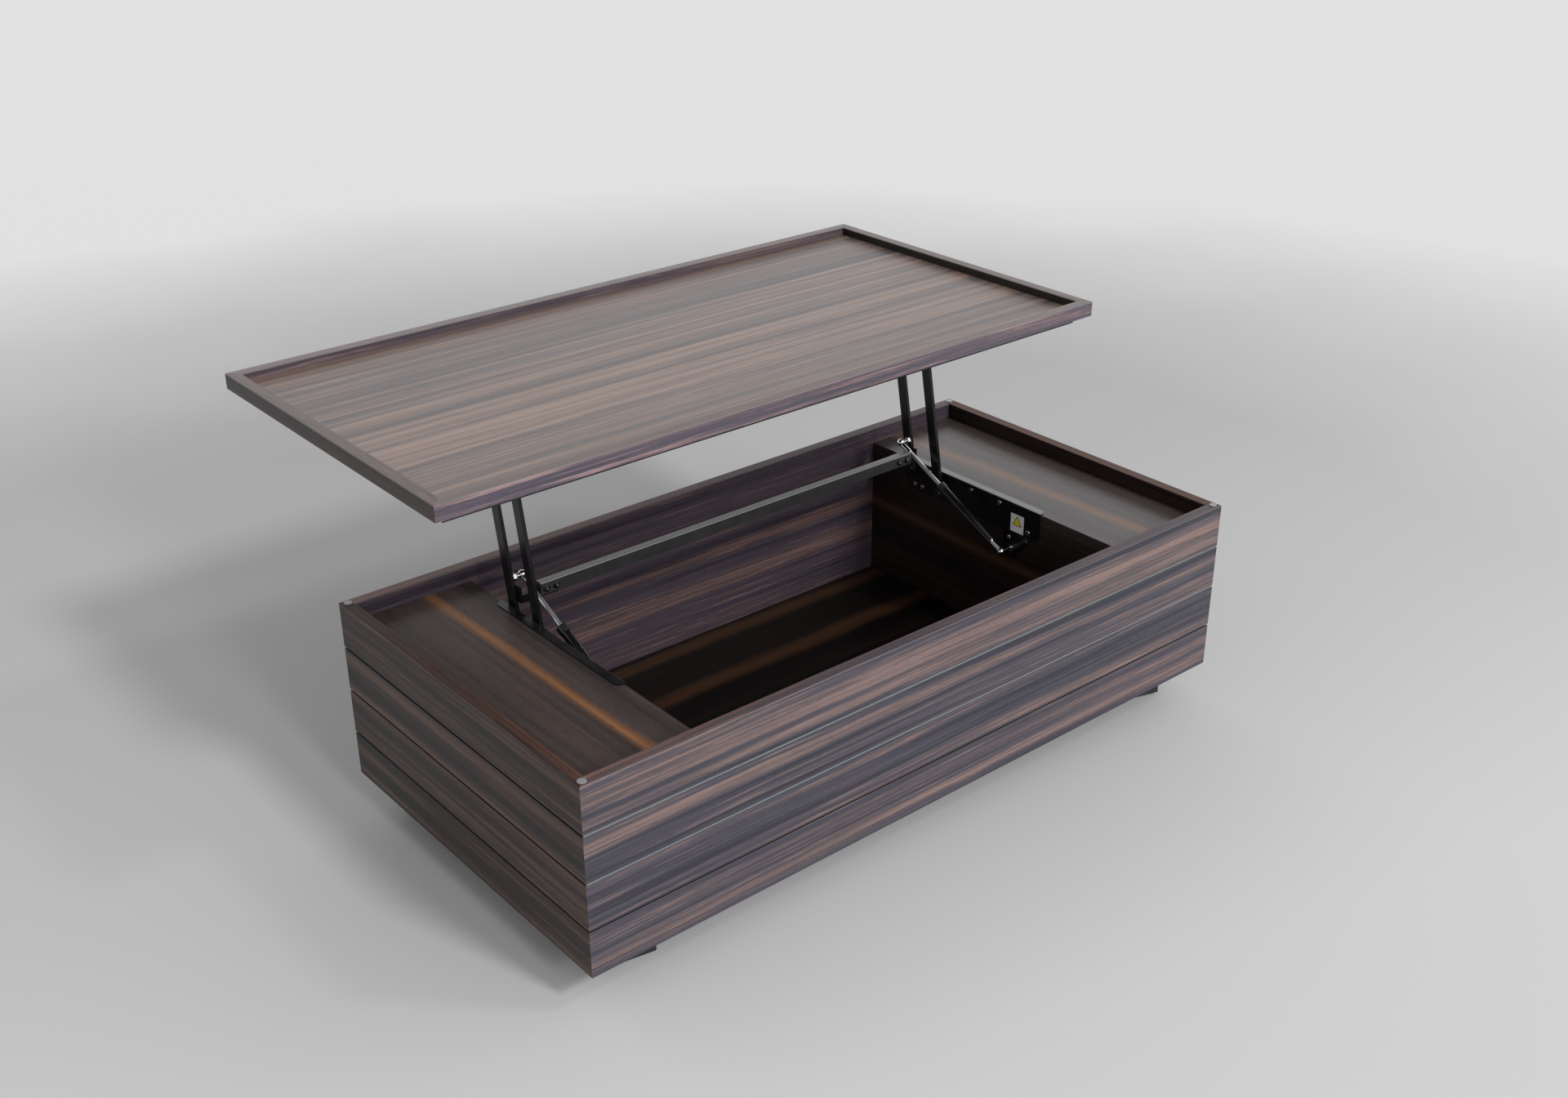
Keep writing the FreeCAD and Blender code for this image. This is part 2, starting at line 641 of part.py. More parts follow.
def gas_cylinder(side):
    """Pressure tube, bored for the rod from its open end."""
    y0 = LOWER_FITTING
    y1 = LOWER_FITTING + CYLINDER_LENGTH
    tube = spring_bar(side, y0, y1, CYLINDER_RADIUS)
    ends = [e for e in tube.Edges if e.BoundBox.YLength < NEAR]
    tube = tube.makeFillet(CYLINDER_ROUND, ends)
    tube = tube.cut(spring_bar(side, y0 + CYLINDER_END, y1, ROD_RADIUS + PIN_CLEARANCE))
    return spring_turned(tube)


def cylinder_collar(side):
    end = LOWER_FITTING + CYLINDER_LENGTH
    ring = spring_bar(side, end - COLLAR_LENGTH, end + COLLAR_LIP, COLLAR_RADIUS)
    ring = ring.cut(spring_bar(side, end - COLLAR_LENGTH, end, CYLINDER_RADIUS))
    ring = ring.cut(spring_bar(side, end, end + COLLAR_LIP, ROD_RADIUS + PIN_CLEARANCE))
    return spring_turned(ring)


def ball_stud(side, yz, foot_inward):
    """Ball on a threaded stud with a hex collar; foot_inward is where its foot sits."""
    foot_x = divider_x(side, foot_inward)
    stem = ball_on_stem(divider_x(side, BALL_LINE), foot_x, yz, BALL_RADIUS, STUD_RADIUS)
    return stem.fuse(hex_x(foot_x, divider_x(side, foot_inward + NUT_THICKNESS), yz, NUT_RADIUS))


def upper_ball_studs():
    return group([ball_stud(side, UPPER_BALL, ARM_FAR) for side in SIDES])


def lower_ball_stud(side):
    """Stud of the spring's lower end; it stays a hair off the base plate's face."""
    return ball_stud(side, LOWER_BALL, SHEET + FACE_CLEARANCE)


# ---- lid ----

def lid_y(distance):
    """y of a line so far back from the front edge of the raised lid."""
    return LID_BACK + distance


def lid_panel():
    return block(-HALF + RIM_WIDTH, HALF - RIM_WIDTH, lid_y(RIM_WIDTH),
                 lid_y(BOX_DEPTH - RIM_WIDTH), RIM_UNDER, TRAY_TOP)


def lid_under_panel():
    board = eased(block(-HALF + UNDER_INSET, HALF - UNDER_INSET, lid_y(UNDER_INSET),
                        lid_y(BOX_DEPTH - UNDER_INSET), UNDER_BOTTOM, RIM_UNDER))
    return board.cut(group(lid_screw_shanks()))


def lid_long_rim(front):
    y_out = lid_y(0 if front else BOX_DEPTH)
    y_in = lid_y(RIM_WIDTH if front else BOX_DEPTH - RIM_WIDTH)
    return mitred_long(y_out, y_in, HALF, RIM_WIDTH, RIM_UNDER, RIM_HEIGHT)


def lid_short_rim(side):
    return mitred_short(side, lid_y(0), lid_y(BOX_DEPTH), HALF, RIM_WIDTH, RIM_UNDER, RIM_HEIGHT)


def upper_bracket(side):
    """Steel angle under the lid: a plate for the two upper pivots and a screwed flange."""
    top = UNDER_BOTTOM
    near = divider_x(side, UPPER_PLATE_NEAR)
    far = divider_x(side, UPPER_PLATE_NEAR + SHEET)
    front = FRONT_TOP_PIVOT[0] - UPPER_FRONT_REACH
    rear = REAR_TOP_PIVOT[0] + UPPER_REAR_REACH
    outline = [(front, top, 0)]
    for pivot, corners in ((FRONT_TOP_PIVOT, UPPER_FRONT_CORNERS),
                           (REAR_TOP_PIVOT, UPPER_REAR_CORNERS)):
        outline += [(pivot[0] + y, pivot[1] + z, r) for y, z, r in corners]
    outline.append((rear, top, 0))
    plate = rounded_plate(outline, near, far)
    flange = block(far, divider_x(side, UPPER_FLANGE_OUTER), front, rear, top - SHEET, top)
    bracket = plate.fuse(flange).removeSplitter()
    holes = [rod_x(near, far, p, PIN_RADIUS) for p in (FRONT_TOP_PIVOT, REAR_TOP_PIVOT)]
    return bracket.cut(group(holes + lid_screw_shanks()))


def lid_screw_places():
    """(x, y) of the screws that hold the two upper brackets under the lid."""
    places = []
    middle = (FRONT_TOP_PIVOT[0] + REAR_TOP_PIVOT[0]) / 2
    for side in SIDES:
        for y in (FRONT_TOP_PIVOT[0] + LID_SCREW_FRONT, middle, REAR_TOP_PIVOT[0] + LID_SCREW_REAR):
            places.append((divider_x(side, LID_SCREW_LINE), y))
    return places


def lid_screw_shanks():
    return [rod_z(x, y, UNDER_BOTTOM - SHEET, UNDER_BOTTOM + LID_SCREW_DEPTH, SCREW_RADIUS)
            for x, y in lid_screw_places()]


def upper_bracket_screws():
    seat = UNDER_BOTTOM - SHEET
    screws = []
    for (x, y), shank in zip(lid_screw_places(), lid_screw_shanks()):
        head = rod_z(x, y, seat - SCREW_HEAD, seat, SCREW_HEAD_RADIUS)
        low = [e for e in head.Edges if e.BoundBox.ZMax < seat - SCREW_HEAD + NEAR]
        screws.append(head.makeFillet(SCREW_HEAD / 2, low).fuse(shank))
    return group(screws)


def upper_pivot_pins():
    """Shouldered rivets, fixed in the upper brackets, that the tops of the arms turn on."""
    pins = []
    for side in SIDES:
        for yz in (FRONT_TOP_PIVOT, REAR_TOP_PIVOT):
            shoulder = rod_x(divider_x(side, UPPER_PLATE_NEAR),
                             divider_x(side, ARM_FAR + FACE_CLEARANCE), yz, PIN_HEAD_RADIUS)
            shank = rod_x(divider_x(side, UPPER_PLATE_NEAR + SHEET),
                          divider_x(side, ARM_NEAR - FACE_CLEARANCE), yz, PIN_RADIUS)
            head = pan_head_x(divider_x(side, ARM_NEAR - FACE_CLEARANCE),
                              divider_x(side, ARM_NEAR - FACE_CLEARANCE - PIN_HEAD),
                              yz, PIN_HEAD_RADIUS, PIN_DRIVE)
            pins.append(shoulder.fuse([shank, head]))
    return group(pins)


def main():
    os.makedirs("parts", exist_ok=True)
    nodes = {
        "front_panel": front_panel(),
        "back_panel": back_panel(),
        "floor_panel": floor_panel(),
        "shelf_cleats": shelf_cleats(),
        "corner_blocks": corner_blocks(),
        "divider_dowels": group(dowels()),
        "foot_bolts": foot_bolts(),
        "foot_pads": foot_pads(),
        "rim_bumpers": rim_bumpers(),
        "bracket_screws": bracket_screws(),
        "base_pivot_pins": base_pivot_pins(),
        "safety_label": safety_label(),
        "cross_bar": cross_bar(),
        "bar_end_caps": bar_end_caps(),
        "cross_bar_bolts": cross_bar_bolts(),
        "upper_ball_studs": upper_ball_studs(),
        "lid_panel": lid_panel(),
        "lid_under_panel": lid_under_panel(),
        "lid_front_rim": lid_long_rim(True),
        "lid_back_rim": lid_long_rim(False),
        "upper_bracket_screws": upper_bracket_screws(),
        "upper_pivot_pins": upper_pivot_pins(),
    }
    for name in FOOT_TURNS:
        nodes["foot_" + name] = foot(name)
    for side in SIDES:
        nodes["side_panel_" + side] = side_panel(side)
        nodes["divider_" + side] = divider(side)
        nodes["shelf_" + side] = shelf(side)
        nodes["base_bracket_" + side] = base_bracket(side)
        nodes["rear_arm_" + side] = arm(side, REAR_PIVOT)
        nodes["front_arm_" + side] = arm(side, FRONT_PIVOT)
        nodes["bar_bracket_" + side] = bar_bracket(side)
        nodes["lid_rim_" + side] = lid_short_rim(side)
        nodes["upper_bracket_" + side] = upper_bracket(side)
        nodes["gas_rod_" + side] = gas_rod(side)
        nodes["rod_socket_" + side] = ball_socket(side, SPRING_LENGTH, -1, UPPER_FITTING)
        nodes["gas_cylinder_" + side] = gas_cylinder(side)
        nodes["cylinder_collar_" + side] = cylinder_collar(side)
        nodes["cylinder_socket_" + side] = ball_socket(side, 0.0, 1, LOWER_FITTING)
        nodes["lower_ball_stud_" + side] = lower_ball_stud(side)
    for name, shape in nodes.items():
        export(name, shape)


main()
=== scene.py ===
"""Looks of the lift top coffee table: materials, light, camera and the small pieces that CAD leaves plain."""

import json
from collections import namedtuple
from math import cos, pi, radians, sin

import bmesh
import bpy
from mathutils import Matrix, Vector


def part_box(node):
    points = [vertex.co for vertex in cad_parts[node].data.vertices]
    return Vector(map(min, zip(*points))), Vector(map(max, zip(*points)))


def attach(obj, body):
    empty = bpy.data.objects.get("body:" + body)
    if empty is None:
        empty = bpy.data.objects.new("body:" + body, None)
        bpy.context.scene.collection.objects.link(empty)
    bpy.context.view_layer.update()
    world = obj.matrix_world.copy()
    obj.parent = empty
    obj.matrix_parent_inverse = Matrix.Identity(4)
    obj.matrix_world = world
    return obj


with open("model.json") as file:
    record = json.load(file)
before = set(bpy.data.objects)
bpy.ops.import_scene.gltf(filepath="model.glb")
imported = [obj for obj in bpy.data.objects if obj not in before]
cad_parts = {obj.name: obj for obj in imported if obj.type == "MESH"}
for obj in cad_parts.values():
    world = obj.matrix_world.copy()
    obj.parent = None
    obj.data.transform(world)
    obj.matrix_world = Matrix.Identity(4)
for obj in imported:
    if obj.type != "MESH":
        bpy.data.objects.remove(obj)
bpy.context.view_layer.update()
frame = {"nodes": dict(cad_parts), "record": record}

MM = 0.001
MICRON = 0.000001
SIDES = {"left": -1, "right": 1}
AXES = "XYZ"
X_AXIS, Y_AXIS = 0, 1


# ---- node trees ----

class Tree:
    """Short hand for writing the node tree of a material, or of the world."""

    MIX_INPUTS = (0, 6, 7)     # factor and the two colours of a colour Mix node
    MIX_OUTPUT = 2

    def __init__(self, name, kind="materials", shader="Principled BSDF"):
        self.owner = getattr(bpy.data, kind).new(name)
        self.owner.use_nodes = True
        self.nodes = self.owner.node_tree.nodes
        self.links = self.owner.node_tree.links
        self.shader = self.nodes[shader]

    def put(self, socket, value):
        """Link value into the socket if it is another socket, and set it if it is a number."""
        if isinstance(value, bpy.types.NodeSocket):
            self.links.new(value, socket)
        else:
            socket.default_value = value

    def surface(self, **values):
        """Set or link the shader's own sockets; Base_Color stands for "Base Color"."""
        for name, value in values.items():
            self.put(self.shader.inputs[name.replace("_", " ")], value)

    def place(self, kind="Object"):
        """The part's own coordinates, in metres in the row frame at rest; "Generated" suits the world."""
        return self.nodes.new("ShaderNodeTexCoord").outputs[kind]

    def vector(self, operation, a, b):
        node = self.nodes.new("ShaderNodeVectorMath")
        node.operation = operation
        self.put(node.inputs[0], a)
        self.put(node.inputs[1], b)
        return node.outputs["Vector"]

    def math(self, operation, a, b=0.0, c=0.0):
        node = self.nodes.new("ShaderNodeMath")
        node.operation = operation
        for socket, value in zip(node.inputs, (a, b, c)):
            self.put(socket, value)
        return node.outputs["Value"]

    def blend(self, a, b, share):
        """Sum of two numbers, the first with the given share and the second with the rest."""
        return self.math("MULTIPLY_ADD", a, share, self.math("MULTIPLY", b, 1.0 - share))

    def away(self, value, middle):
        """Distance of a number from a middle value."""
        return self.math("ABSOLUTE", self.math("SUBTRACT", value, middle))

    def split(self, vector):
        node = self.nodes.new("ShaderNodeSeparateXYZ")
        self.put(node.inputs[0], vector)
        return node.outputs

    def noise(self, vector, scale=1.0, detail=2.0, roughness=0.5, output="Fac"):
        node = self.nodes.new("ShaderNodeTexNoise")
        self.put(node.inputs["Vector"], vector)
        node.inputs["Scale"].default_value = scale
        node.inputs["Detail"].default_value = detail
        node.inputs["Roughness"].default_value = roughness
        return node.outputs[output]

    def ramp(self, factor, stops):
        """Colour ramp from (position, (r, g, b)) stops, or (position, grey) ones."""
        node = self.nodes.new("ShaderNodeValToRGB")
        self.put(node.inputs["Fac"], factor)
        elements = node.color_ramp.elements
        while len(elements) < len(stops):
            elements.new(0.5)
        for element, (position, colour) in zip(elements, stops):
            rgb = colour if isinstance(colour, tuple) else (colour, colour, colour)
            element.position = position
            element.color = (*rgb, 1.0)
        return node.outputs["Color"]

    def two_tone(self, noise, tones, low=0.35, high=0.65):
        """Blend from the first colour to the second over the middle of a noise."""
        return self.ramp(noise, [(low, tones[0]), (high, tones[1])])

    def span(self, value, low, high, to_low=0.0, to_high=1.0):
        """Map low..high to to_low..to_high, clamped."""
        node = self.nodes.new("ShaderNodeMapRange")
        for socket, given in zip(node.inputs, (value, low, high, to_low, to_high)):
            self.put(socket, given)
        return node.outputs["Result"]

    def vary(self, noise, low, high):
        """Number that follows the middle of a noise, from low to high."""
        return self.span(noise, 0.3, 0.7, low, high)

    def mix(self, factor, a, b, mode="MIX"):
        node = self.nodes.new("ShaderNodeMix")
        node.data_type = "RGBA"
        node.blend_type = mode
        for index, value in zip(self.MIX_INPUTS, (factor, a, b)):
            self.put(node.inputs[index], (*value, 1.0) if isinstance(value, tuple) else value)
        return node.outputs[self.MIX_OUTPUT]

    def bump(self, height, distance, strength):
        node = self.nodes.new("ShaderNodeBump")
        node.inputs["Strength"].default_value = strength
        node.inputs["Distance"].default_value = distance
        self.put(node.inputs["Height"], height)
        return node.outputs["Normal"]


# ---- wood ----

# Colours of the veneer in linear light: dark ground, ground, band, light band, fine veins.
BOX_TONES = ((0.028, 0.025, 0.036), (0.056, 0.051, 0.070), (0.080, 0.067, 0.081),
             (0.116, 0.083, 0.085), (0.245, 0.162, 0.146))
# The same veneer darkened as painted shade, for faces turned away from the light: the end boards, the lid's
# underside and the end rims.
SHADED_VENEER_TONES = ((0.018, 0.013, 0.013), (0.029, 0.021, 0.020), (0.044, 0.030, 0.026),
              (0.072, 0.044, 0.035), (0.120, 0.074, 0.056))
TRAY_TONES = ((0.034, 0.028, 0.029), (0.064, 0.050, 0.048), (0.086, 0.061, 0.053),
              (0.120, 0.079, 0.060), (0.190, 0.128, 0.098))
RIM_TONES = ((0.040, 0.032, 0.046), (0.076, 0.064, 0.087), (0.096, 0.076, 0.097),
             (0.128, 0.089, 0.101), (0.280, 0.190, 0.190))
BACK_TONES = RIM_TONES[:2] + BOX_TONES[2:]
INNER_TONES = ((0.014, 0.011, 0.010), (0.027, 0.021, 0.019), (0.038, 0.028, 0.024),
               (0.054, 0.038, 0.031), (0.078, 0.054, 0.043))
# The same veneer made very dark as painted shade, for the compartment floor deep under the lid.
FLOOR_SHADE_TONES = ((0.005, 0.004, 0.004), (0.008, 0.006, 0.006), (0.010, 0.008, 0.007),
               (0.013, 0.009, 0.008), (0.018, 0.012, 0.010))
SHELF_TONES = ((0.034, 0.027, 0.026), (0.047, 0.038, 0.036), (0.056, 0.044, 0.041),
               (0.067, 0.051, 0.047), (0.088, 0.066, 0.058))
TONE_STOPS = (0.36, 0.45, 0.50, 0.55, 0.68)
HEART_TONE = (0.320, 0.142, 0.058)
# Pale tone of a worn arris, which also stands for a painted highlight along the edge.
WORN_HIGHLIGHT_TONE = (0.40, 0.36, 0.38)
TAPE_TINT = (0.95, 0.74, 0.64)

# Scales of the figure, in features per metre along the grain and across it.
# Each board has its own bands across, and its lines follow them.
SWAY = (2.2, 7.0)
BANDS_ALONG = 0.45
LINES_ALONG = 1.1
LINES_PER_BAND = 4.0
HAIRS = (6.0, 330.0)
PORES = (60.0, 2400.0)
FLECKS = (20.0, 420.0)

LINE_SHARE = 0.36              # share of the lines in the pattern, against the bands
HAIR_SHARE = 0.22              # how much the hairs add to the pattern
VEIN_HAIRS = (0.54, 0.62)      # light veins show where the hairs and the pattern pass these levels
VEIN_PATTERN = (0.47, 0.56)
HEART_LINES = (0.30, 0.62)     # the lines that break up a heartwood streak
HEART_FAINTEST = 0.4
PORE_EDGE = (0.36, 0.44)
PORE_DARKNESS = 0.30
PORE_SHARE = 0.6               # share of the pores in the relief, against the hairs
VENEER_RELIEF = 120 * MICRON
RELIEF_STRENGTH = 0.5
GLOSS_SPREAD = (-0.05, 0.06)

TOP_REACH = 0.3 * MM           # how far below the top still counts as the upward face
FACE_REACH = 0.4 * MM          # how deep in the board still counts as its outer or inner face
BOX_ARRIS = 1.4 * MM
RIM_ARRIS = 1.3 * MM
# How strongly the rims' arris shows wear and a painted highlight.
RIM_WEAR_AND_HIGHLIGHT = 0.35
TAPE_DULLNESS = 0.14
GROOVE_HALF_HEIGHT = 1.7 * MM
GROOVE_DEPTH = 3.0 * MM
GROOVE_SPECKLE = 900.0
SPECKLE_GAIN = 0.85            # tone of the darker speckles, as a share of the groove's tone
# Groove tones painted in place of light: the pale one is a painted reflection, the dark ones painted shade.
PALE_GROOVE_REFLECTION = (0.30, 0.33, 0.33)
DARK_GROOVE_SHADE = (0.03, 0.03, 0.03)
END_GROOVE_SHADE = (0.02, 0.02, 0.02)

# An orange heartwood streak: the axis across it, the axis along it, its place, half its width and its slant.
Streak = namedtuple("Streak", "across along middle half_width slant")


def shade(tones, gain):
    """The same tones, lighter or darker."""
    return tuple(tuple(gain * level for level in tone) for tone in tones)


def stretched(tree, point, grain, along, across):
    """Scale a point so that noise read there runs in long fibres along the grain."""
    scale = [across, across, across]
    scale[AXES.index(grain)] = along
    return tree.vector("MULTIPLY", point, tuple(scale))


def wandering(tree, grain, amount, shift):
    """The part's own coordinates, pushed slowly sideways so that the grain wanders."""
    place = tree.vector("ADD", tree.place(), shift)
    sway = tree.noise(stretched(tree, place, grain, *SWAY), output="Color")
    push = [amount, amount, amount]
    push[AXES.index(grain)] = 0.0
    centred = tree.vector("SUBTRACT", sway, (0.5, 0.5, 0.5))
    return tree.vector("ADD", place, tree.vector("MULTIPLY", centred, tuple(push)))


def heart_mask(tree, streaks, shift):
    """1 along the middle of each heartwood streak, falling to 0 at its wavy sides."""
    place = tree.place()
    wave = tree.noise(tree.vector("ADD", place, shift), scale=5.0, detail=3.0)
    parts = tree.split(place)
    total = 0.0
    for streak in streaks:
        line = tree.math("MULTIPLY_ADD", parts[AXES.index(streak.along)], streak.slant, streak.middle)
        line = tree.math("MULTIPLY_ADD", tree.math("SUBTRACT", wave, 0.5), streak.half_width, line)
        mask = tree.span(tree.away(parts[AXES.index(streak.across)], line), streak.half_width, 0.0)
        total = tree.math("MAXIMUM", total, mask)
    return total


def veneer(name, grain, tones, shift, band=26.0, gloss=0.38, ior=1.5, wander=0.007, dashes=0.75,
           streaks=(), heart=1.0, finish=None):
    """Satin macassar veneer: broad bands, lines, light veins and pores, all along the grain.

    The shift picks another cut of the same wood, band is how many bands a metre holds across the grain,
    gloss is the middle of the roughness, wander is how far the grain strays in metres, and dashes and
    heart are how strongly the light veins and the heartwood streaks show.
    """
    tree = Tree(name)
    point = wandering(tree, grain, wander, shift)
    bands = tree.noise(stretched(tree, point, grain, BANDS_ALONG, band))
    lines = tree.noise(stretched(tree, point, grain, LINES_ALONG, band * LINES_PER_BAND),
                       detail=3.0, roughness=0.6)
    hairs = tree.noise(stretched(tree, point, grain, *HAIRS), detail=3.0, roughness=0.65)
    pores = tree.noise(stretched(tree, point, grain, *PORES), detail=1.0)
    pattern = tree.math("MULTIPLY_ADD", tree.math("SUBTRACT", hairs, 0.5), HAIR_SHARE,
                        tree.blend(lines, bands, LINE_SHARE))
    colour = tree.ramp(pattern, list(zip(TONE_STOPS, tones)))
    veins = tree.math("MULTIPLY", tree.span(hairs, *VEIN_HAIRS), tree.span(pattern, *VEIN_PATTERN))
    colour = tree.mix(tree.math("MULTIPLY", veins, dashes), colour, tones[-1])
    if streaks:
        streak = tree.math("MULTIPLY", heart_mask(tree, streaks, shift),
                           tree.span(lines, *HEART_LINES, HEART_FAINTEST * heart, heart))
        colour = tree.mix(streak, colour, HEART_TONE)
    colour = tree.mix(tree.span(pores, *PORE_EDGE, PORE_DARKNESS, 0.0), colour, tones[0], "MULTIPLY")
    rough = tree.vary(lines, *(gloss + change for change in GLOSS_SPREAD))
    if finish:
        colour, rough = finish(tree, colour, rough)
    relief = tree.bump(tree.blend(pores, hairs, PORE_SHARE), VENEER_RELIEF, RELIEF_STRENGTH)
    tree.surface(Base_Color=colour, Roughness=rough, Normal=relief, IOR=ior)
    return tree.owner


def upward_masks(tree, top, arris):
    """Masks of the faces that lie at the top height and of the arris that reaches that far below them."""
    z = tree.split(tree.place())["Z"]
    on_top = tree.math("GREATER_THAN", z, top - TOP_REACH)
    on_arris = tree.math("SUBTRACT", tree.math("GREATER_THAN", z, top - arris), on_top)
    return on_top, on_arris


def edge_tape(tree, colour, rough, top, wear_and_highlight):
    """Darker, duller veneer tape on the upward edges of the box boards, with a worn arris that also carries a
    painted highlight.
    """
    on_edge, on_arris = upward_masks(tree, top, BOX_ARRIS)
    colour = tree.mix(on_edge, colour, TAPE_TINT, "MULTIPLY")
    # The arris is painted paler: partly wear, partly a painted highlight.
    colour = tree.mix(tree.math("MULTIPLY", on_arris, wear_and_highlight), colour, WORN_HIGHLIGHT_TONE)
    return colour, tree.math("MULTIPLY_ADD", on_edge, TAPE_DULLNESS, rough)


def rim_finish(grain, side_light_and_shade):
    """Lid rims: the upward faces carry the tray's tones as painted top light, the other faces are painted
    lighter or darker as light and shade, and the arris gets wear and a painted highlight.
    """
    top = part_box("lid_front_rim")[1].z

    def finish(tree, colour, rough):
        on_top, on_arris = upward_masks(tree, top, RIM_ARRIS)
        colour = tree.mix(1.0, colour, (side_light_and_shade, side_light_and_shade, side_light_and_shade), "MULTIPLY")
        fleck = tree.noise(stretched(tree, tree.place(), grain, *FLECKS))
        colour = tree.mix(on_top, colour, tree.two_tone(fleck, (TRAY_TONES[1], TRAY_TONES[3])))
        colour = tree.mix(tree.math("MULTIPLY", on_arris, RIM_WEAR_AND_HIGHLIGHT), colour, WORN_HIGHLIGHT_TONE)
        return colour, rough

    return finish


def groove_finish(groove_light_and_shade, wear_and_highlight, inside_shade):
    """Box boards: a painted tone in each outer groove, lowest first, pale for a painted reflection and dark
    for painted shade, taped edges, and painted shade on the inner faces.
    """
    low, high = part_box("front_panel")
    back_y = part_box("back_panel")[1].y
    half_length = (high.x - low.x) / 2
    half_depth = (back_y - low.y) / 2
    middle_y = (back_y + low.y) / 2
    board = high.y - low.y
    step = (high.z - low.z) / (len(groove_light_and_shade) + 1)

    def finish(tree, colour, rough):
        x, y, z = tree.split(tree.place())
        from_end = tree.math("SUBTRACT", half_length, tree.math("ABSOLUTE", x))
        from_side = tree.math("SUBTRACT", half_depth, tree.away(y, middle_y))
        depth = tree.math("MINIMUM", from_end, from_side)
        # Painted shade: the inner faces are darkened by a tint.
        inside = tree.math("GREATER_THAN", depth, board - FACE_REACH)
        colour = tree.mix(inside, colour, inside_shade, "MULTIPLY")
        colour, rough = edge_tape(tree, colour, rough, high.z, wear_and_highlight)
        in_groove = tree.math("MULTIPLY", tree.math("GREATER_THAN", depth, FACE_REACH),
                              tree.math("LESS_THAN", depth, GROOVE_DEPTH))
        speckle = tree.noise(tree.place(), scale=GROOVE_SPECKLE)
        # Each groove's tone is painted light: a pale tone is a painted reflection, a dark one painted shade.
        for i, tone in enumerate(groove_light_and_shade):
            gap = tree.away(z, low.z + step * (i + 1))
            here = tree.math("MULTIPLY", in_groove, tree.math("LESS_THAN", gap, GROOVE_HALF_HEIGHT))
            darker = tuple(SPECKLE_GAIN * level for level in tone)
            paint = tree.two_tone(speckle, (darker, tone), low=0.3, high=0.7)
            colour = tree.mix(here, colour, paint)
        return colour, rough

    return finish


def raw_timber():
    """Pale sawn softwood of the hidden battens, blocks and dowels."""
    tree = Tree("raw_timber")
    point = wandering(tree, "Y", amount=0.02, shift=(0.3, 0.1, 0.7))
    rings = tree.noise(stretched(tree, point, "Y", along=3.0, across=160.0), detail=3.0)
    colour = tree.ramp(rings, [(0.35, (0.42, 0.27, 0.14)), (0.5, (0.62, 0.45, 0.26)),
                               (0.65, (0.72, 0.56, 0.35))])
    fuzz = tree.noise(stretched(tree, point, "Y", along=60.0, across=900.0))
    tree.surface(Base_Color=colour, Roughness=tree.vary(fuzz, 0.6, 0.8),
                 Normal=tree.bump(fuzz, distance=300 * MICRON, strength=0.6))
    return tree.owner


def box_veneers():
    """Outer boards of the box: pale upper grooves on the long boards as a painted reflection, dark ones on
    the ends as painted shade.
    """
    long_finish = groove_finish((DARK_GROOVE_SHADE, PALE_GROOVE_REFLECTION, PALE_GROOVE_REFLECTION), wear_and_highlight=0.22,
                                inside_shade=(0.80, 0.74, 0.75))
    end_finish = groove_finish((END_GROOVE_SHADE, END_GROOVE_SHADE, END_GROOVE_SHADE), wear_and_highlight=0.05,
                               inside_shade=(0.26, 0.25, 0.28))
    long_board = {"finish": long_finish}
    end_board = {"band": 36.0, "ior": 1.28, "finish": end_finish}
    return {
        "front_panel": veneer("veneer_front", "X", BOX_TONES, (0.0, 1.7, 5.2), band=50.0, **long_board),
        "back_panel": veneer("veneer_back", "X", BACK_TONES, (2.3, 7.4, 1.9), band=46.0, **long_board),
        # The end boards take the painted-shade tones.
        "side_panel_left": veneer("veneer_left", "Y", SHADED_VENEER_TONES, (4.1, 0.2, 0.9), **end_board),
        "side_panel_right": veneer("veneer_right", "Y", SHADED_VENEER_TONES, (6.6, 1.3, 2.2), **end_board),
    }


def lid_veneers():
    """The tray, the board under it and the four rims."""
    tray = shade(TRAY_TONES, 1.50)
    back_rim = shade(RIM_TONES, 0.65)
    # The end rims take the painted-shade tones, darker still.
    end_rim = shade(SHADED_VENEER_TONES, 0.8)
    # Painted light and shade on the rims' sides: the long rims lighter, the end rims darker.
    long_rim = {"band": 42.0, "finish": rim_finish("X", side_light_and_shade=1.12)}
    short_rim = {"ior": 1.4, "finish": rim_finish("Y", side_light_and_shade=0.62)}
    return {
        "lid_panel": veneer("veneer_tray", "X", tray, (1.2, 5.7, 0.3), band=64.0, wander=0.0015, dashes=0.5),
        # The underside takes the painted-shade tones.
        "lid_under_panel": veneer("veneer_underside", "X", SHADED_VENEER_TONES, (0.7, 9.2, 3.3)),
        "lid_front_rim": veneer("veneer_rim_front", "X", RIM_TONES, (3.0, 4.4, 6.1), dashes=1.0, **long_rim),
        "lid_back_rim": veneer("veneer_rim_back", "X", back_rim, (5.2, 8.8, 2.4), **long_rim),
        "lid_rim_left": veneer("veneer_rim_left", "Y", end_rim, (7.7, 2.1, 5.3), **short_rim),
        "lid_rim_right": veneer("veneer_rim_right", "Y", end_rim, (9.1, 3.6, 4.2), **short_rim),
    }


